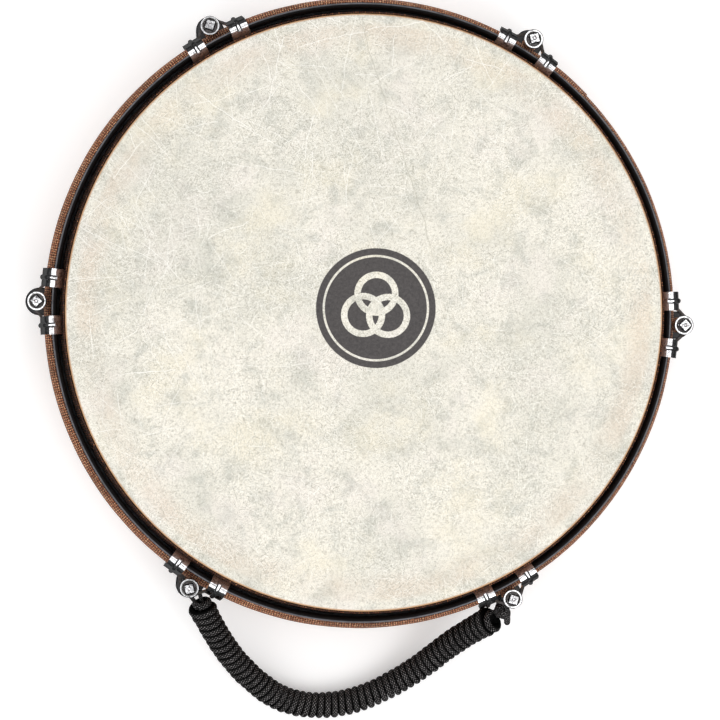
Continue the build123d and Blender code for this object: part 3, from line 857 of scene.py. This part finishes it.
KNOT_ROUTE = (
    (0.0912, -0.1812, 0.0500),
    (0.0910, -0.1784, 0.0545),
    (0.0932, -0.1766, 0.0575),
    (0.0964, -0.1784, 0.0570),
    (0.0960, -0.1822, 0.0555),
    (0.0930, -0.1822, 0.0545),
    (0.0912, -0.1796, 0.0520),
    (0.0934, -0.1766, 0.0515),
    (0.0970, -0.1782, 0.0535),
    (0.0975, -0.1819, 0.0560),
    (0.0950, -0.1825, 0.0585),
    (0.0930, -0.1802, 0.0600),
    (0.0948, -0.1788, 0.0598),
    (0.0970, -0.1818, 0.0570),
    (0.0974, -0.1855, 0.0540),
    (0.0974, -0.1875, 0.0520),
)
TIE_RADIUS = 1.3 * MM
TIE_SIDES = 10
TIE_ENTRY = 1.5 * MM
TIE_HEIGHT = 47.0 * MM
TIE_HALF_GAP = 1.75 * MM
TIE_SPACING = 0.6 * MM
EYE_PLAY = 0.4 * MM
EYE_OPENING = radians(52)
EYE_STEPS = 28


def smooth_curve(name, points, bevel):
    """One smooth open NURBS curve through the neighbourhood of its points."""
    data = bpy.data.curves.new(name, "CURVE")
    data.dimensions = "3D"
    data.resolution_u = 24
    data.bevel_depth = bevel
    data.bevel_resolution = 5
    data.use_fill_caps = True
    spline = data.splines.new("NURBS")
    spline.points.add(len(points) - 1)
    for point, place in zip(spline.points, points):
        point.co = (*place, 1)
    spline.order_u = 3
    spline.use_endpoint_u = True
    return data


def sampled_line(points):
    """Evenly spaced points along the smooth curve of a few points."""
    data = smooth_curve("line", points, 0)
    holder = bpy.data.objects.new("line", data)
    mesh = bpy.data.meshes.new_from_object(holder)
    line = np.array([tuple(v.co) for v in mesh.vertices])
    bpy.data.objects.remove(holder)
    bpy.data.curves.remove(data)
    bpy.data.meshes.remove(mesh)
    return line


class Path:
    """A line with its length, and a frame that travels along it without twisting."""

    def __init__(self, points):
        self.points = np.array(points)
        self.length = lengths_along(self.points)
        self.total = self.length[-1]
        tangents = np.gradient(self.points, axis=0)
        self.tangents = tangents / np.linalg.norm(tangents, axis=1)[:, None]
        side = np.cross(self.tangents[0], (0, 0, 1))
        sides = []
        for tangent in self.tangents:
            side = side - tangent * np.dot(side, tangent)
            side = side / np.linalg.norm(side)
            sides.append(side)
        self.sides = np.array(sides)

    def at(self, distance):
        """Place, side and up at a distance along the line, straight beyond its ends."""
        inside = min(max(distance, 0.0), self.total)
        place, tangent, side = (
            np.array([np.interp(inside, self.length, values[:, k]) for k in range(3)])
            for values in (self.points, self.tangents, self.sides)
        )
        tangent /= np.linalg.norm(tangent)
        side -= tangent * np.dot(side, tangent)
        side /= np.linalg.norm(side)
        return place + tangent * (distance - inside), side, np.cross(tangent, side)


def cord_mesh(name, points, radius, sides, outward=None):
    """A round cord along points, with rounded ends and a UV map for its braid.

    Its crest attribute is 1 where the cord faces outward, and 0 where it faces inward. The
    outward directions are shorter than 1 near the winding's ends, where the cord lies open.
    """
    path = Path(points)
    angles = [tau * k / sides for k in range(sides)]
    rows, crests = [], []
    for i, (place, side) in enumerate(zip(path.points, path.sides)):
        up = np.cross(path.tangents[i], side)
        near_end = min(path.length[i], path.total - path.length[i])
        size = radius
        if near_end < radius:
            size *= max(CORD_TIP, (1 - (1 - near_end / radius) ** 2) ** 0.5)
        spokes = [cos(a) * side + sin(a) * up for a in angles]
        rows.append([tuple(place + size * spoke) for spoke in spokes])
        if outward:
            open_end = 1 - np.linalg.norm(outward[i])
            crests += [0.5 + 0.5 * float(np.dot(spoke, outward[i])) + open_end for spoke in spokes]
        else:
            crests += [1.0] * sides

    def uv(i, j):
        return (j / sides, path.length[i])

    mesh = tube_mesh(name, rows, uv)
    mesh.attributes.new("crest", "FLOAT", "POINT").data.foreach_set("value", crests)
    return mesh


def helix_points(path, chance):
    """The wound cord's centreline and its outward directions, with its ends turned in.

    Its turns are spread by a mix of the grip's length and its length seen from above.
    """
    turns = WOUND_TURNS
    level = lengths_along(path.points[:, :2])
    spread = (1 - SPREAD_BY_LEVEL) * path.length / path.total + SPREAD_BY_LEVEL * level / level[-1]
    slack = [chance.uniform(-1, 1) for _ in range(turns + 2)]
    points, outward = [], []
    for i in range(turns * TURN_STEPS + 1):
        turn = i / TURN_STEPS
        share = turn / turns
        ends = share * (CAP_REACH - KNOT_GAP) - (1 - share) * CAP_REACH
        place, side, up = path.at(float(np.interp(share, spread, path.length)) + ends)
        whole = int(turn)
        part = turn - whole
        loose = slack[whole] * (1 - part) + slack[whole + 1] * part
        close = min(1.0, FIRST_CLOSE + min(turn, turns - turn) * (1 - FIRST_CLOSE))
        swell = max(0.0, 1 - turn / SWELL_TURNS[0]) + max(0.0, 1 - (turns - turn) / SWELL_TURNS[1])
        radius = (HELIX_RADIUS + END_SWELL * swell + HELIX_SLACK * loose) * close
        angle = HELIX_START - tau * turn
        spoke = cos(angle) * side + sin(angle) * up
        points.append(place + radius * spoke)
        outward.append(close * spoke)
    return points, outward


def fine_line(points, step):
    """Points along straight runs at about one spacing."""
    path = np.array(points)
    length = lengths_along(path)
    wanted = np.linspace(0, length[-1], max(2, int(length[-1] / step)))
    return np.stack([np.interp(wanted, length, path[:, k]) for k in range(3)], axis=1)


def tie_points(number, grip_end):
    """An eye of thin cord: out from the grip, round the rod and back."""
    angle = lug_angle(number)
    rod = Vector((BOLT_CIRCLE * cos(angle), BOLT_CIRCLE * sin(angle), TIE_HEIGHT))
    target = Vector((grip_end[0], grip_end[1], TIE_HEIGHT))
    along = (target - rod).normalized()
    aside = Vector((-along.y, along.x, 0))
    end = rod + along * ((target - rod).length - TIE_ENTRY)
    rise = Vector((0, 0, grip_end[2] - TIE_HEIGHT))
    eye = ROD_RADIUS + EYE_PLAY + TIE_RADIUS
    points = [end + aside * TIE_HALF_GAP + rise]
    for i in range(EYE_STEPS + 1):
        turn = EYE_OPENING + (tau - 2 * EYE_OPENING) * i / EYE_STEPS
        points.append(rod + along * eye * cos(turn) + aside * eye * sin(turn))
    points.append(end - aside * TIE_HALF_GAP + rise)
    return fine_line([tuple(p) for p in points], TIE_SPACING)


def make_handle():
    core = bpy.data.objects.new("grip_core", smooth_curve("grip_core", GRIP_ROUTE, CORE_RADIUS))
    bpy.context.scene.collection.objects.link(core)
    core.data.materials.append(MATERIALS["cord"])
    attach(core, "handle")
    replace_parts(core, "handle_core")
    path = Path(sampled_line(GRIP_ROUTE))
    turns, outward = helix_points(path, Random(WINDING_SEED))
    wound = cord_mesh("grip_winding", turns, WOUND_RADIUS, CORD_SIDES, outward)
    winding = new_object("grip_winding", wound, "handle", "cord")
    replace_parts(winding, "handle_winding")
    knot = cord_mesh("tie_knot", sampled_line(KNOT_ROUTE), KNOT_RADIUS, CORD_SIDES)
    ties = [new_object("tie_knot", knot, "shell", "cord")]
    for name, number, end in (("tie_left", 5, GRIP_ROUTE[0]), ("tie_right", 6, GRIP_ROUTE[-1])):
        eye = cord_mesh(name, tie_points(number, end), TIE_RADIUS, TIE_SIDES)
        tie = new_object(name, eye, "shell", "cord")
        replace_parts(tie, f"handle_{name}")
        ties.append(tie)


make_handle()

# ------------------------------------------------------------------ floor, light, camera
CEILING_EDGE = 0.74
CEILING_LEVEL = 1.9
ROOM_LEVEL = 0.06
GAP_CENTRE = 0.015
GAP_HALF_WIDTH = 0.045
GAP_LEVEL = 0.3
SIDE_LEVEL = 0.45
OVERHEAD_LEVEL = 1.4
KEY_PLACE = (0.75, -1.0, 1.7)
KEY_SIDE = 0.8
KEY_POWER = 5
FLOOR_HALF = 4.0
FLOOR_WHITE = rgb(250, 250, 250)
FLOOR_GLOW = 0.2
FLOOR_IN_GLOSS = 0.03
FLOOR_NEAR_GLOSS = 0.08
NEAR_FLOOR = (SHOULDER_RADIUS + 30 * MM, SHOULDER_RADIUS + 75 * MM)
CAMERA_PLACE = (-0.09746, -0.0138, HEAD_TOP + 1.99778)
CAMERA_AIM = (-0.0019, -0.02813, HEAD_TOP)
CAMERA_ROLL = radians(-2.1)
CAMERA_LENS = 168.35
CAMERA_SENSOR = 36.0
CAMERA_RANGE = (0.05, 20.0)


def make_stage():
    """A wide pale floor under the drum, which is darker in what the gloss shows."""
    mesh = bpy.data.meshes.new("floor")
    corners = [(x * FLOOR_HALF, y * FLOOR_HALF, 0) for x, y in ((-1, -1), (1, -1), (1, 1), (-1, 1))]
    mesh.from_pydata(corners, [], [(0, 1, 2, 3)])
    floor = bpy.data.objects.new("floor", mesh)
    bpy.context.scene.collection.objects.link(floor)
    g = Graph("floor_paper")
    tooth = g.noise(g.place, 900, 3)
    g.finish(
        FLOOR_WHITE, 0.9, g.bump(tooth, 0.05 * MM, 0.2), Specular_IOR_Level=0.1,
        Emission_Color=(1, 1, 1, 1), Emission_Strength=FLOOR_GLOW,
    )
    in_gloss = g.nodes.new("ShaderNodeLightPath").outputs["Is Glossy Ray"]
    dim = g.nodes.new("ShaderNodeEmission")
    x, y, _ = g.split(g.place)
    radius = g.vector("LENGTH", g.join(x, y, 0.0))
    g.links.new(g.ramp(radius, *NEAR_FLOOR, FLOOR_NEAR_GLOSS, FLOOR_IN_GLOSS), dim.inputs["Strength"])
    mix = g.nodes.new("ShaderNodeMixShader")
    g.links.new(in_gloss, mix.inputs[0])
    g.links.new(g.shader.outputs[0], mix.inputs[1])
    g.links.new(dim.outputs[0], mix.inputs[2])
    g.links.new(mix.outputs[0], g.nodes["Material Output"].inputs["Surface"])
    floor.data.materials.append(g.material)


def square_light(name, place, aim, side, power):
    """A soft square lamp at a place, turned to a point."""
    lamp = bpy.data.lights.new(name, "AREA")
    lamp.shape = "RECTANGLE"
    lamp.size = lamp.size_y = side
    lamp.energy = power
    holder = bpy.data.objects.new(name, lamp)
    holder.location = place
    holder.rotation_euler = (Vector(aim) - Vector(place)).to_track_quat("-Z", "Y").to_euler()
    bpy.context.scene.collection.objects.link(holder)


def make_lights():
    """Even white light, with two wide softboxes over a dim room in what the gloss shows."""
    world = bpy.data.worlds.new("studio")
    bpy.context.scene.world = world
    world.use_nodes = True
    nodes, links = world.node_tree.nodes, world.node_tree.links
    nodes["Background"].inputs["Color"].default_value = (1, 1, 1, 1)
    split = nodes.new("ShaderNodeSeparateXYZ")
    links.new(nodes.new("ShaderNodeTexCoord").outputs["Generated"], split.inputs[0])

    def ramp(value, low, high, start, end):
        node = nodes.new("ShaderNodeMapRange")
        node.interpolation_type = "SMOOTHSTEP"
        links.new(value, node.inputs[0])
        for socket, number in zip(node.inputs[1:5], (low, high, start, end)):
            socket.default_value = number
        return node.outputs[0]

    def math(operation, a, b):
        node = nodes.new("ShaderNodeMath")
        node.operation = operation
        for socket, value in zip(node.inputs, (a, b)):
            if isinstance(value, float):
                socket.default_value = value
            else:
                links.new(value, socket)
        return node.outputs[0]

    ceiling = ramp(split.outputs["Z"], CEILING_EDGE - 0.08, CEILING_EDGE + 0.05, ROOM_LEVEL, CEILING_LEVEL)
    off_gap = math("ABSOLUTE", math("SUBTRACT", split.outputs["X"], GAP_CENTRE), 0.0)
    gap = ramp(off_gap, GAP_HALF_WIDTH * 0.6, GAP_HALF_WIDTH * 1.4, GAP_LEVEL, 1.0)
    in_gloss = nodes.new("ShaderNodeLightPath").outputs["Is Glossy Ray"]
    seen = math("MULTIPLY", math("MULTIPLY", ceiling, gap), in_gloss)
    overhead = ramp(split.outputs["Z"], -0.1, 1.0, SIDE_LEVEL, OVERHEAD_LEVEL)
    even = math("MULTIPLY", math("SUBTRACT", 1.0, in_gloss), overhead)
    links.new(math("ADD", seen, even), nodes["Background"].inputs["Strength"])
    square_light("key", KEY_PLACE, (0, 0, HEAD_TOP), KEY_SIDE, KEY_POWER)


def make_camera():
    """Looking almost straight down, a little from the left, with the drum turned slightly."""
    data = bpy.data.cameras.new("camera")
    data.sensor_width = CAMERA_SENSOR
    data.lens = CAMERA_LENS
    data.clip_start, data.clip_end = CAMERA_RANGE
    camera = bpy.data.objects.new("camera", data)
    place = Vector(CAMERA_PLACE)
    back = (place - Vector(CAMERA_AIM)).normalized()
    right = Vector((cos(CAMERA_ROLL), -sin(CAMERA_ROLL), 0.0))
    right = (right - right.dot(back) * back).normalized()
    turn = Matrix((right, back.cross(right), back)).transposed().to_4x4()
    camera.matrix_world = Matrix.Translation(place) @ turn
    bpy.context.scene.collection.objects.link(camera)
    bpy.context.scene.camera = camera


make_stage()
make_lights()
make_camera()

bpy.context.scene.view_settings.view_transform = "Standard"
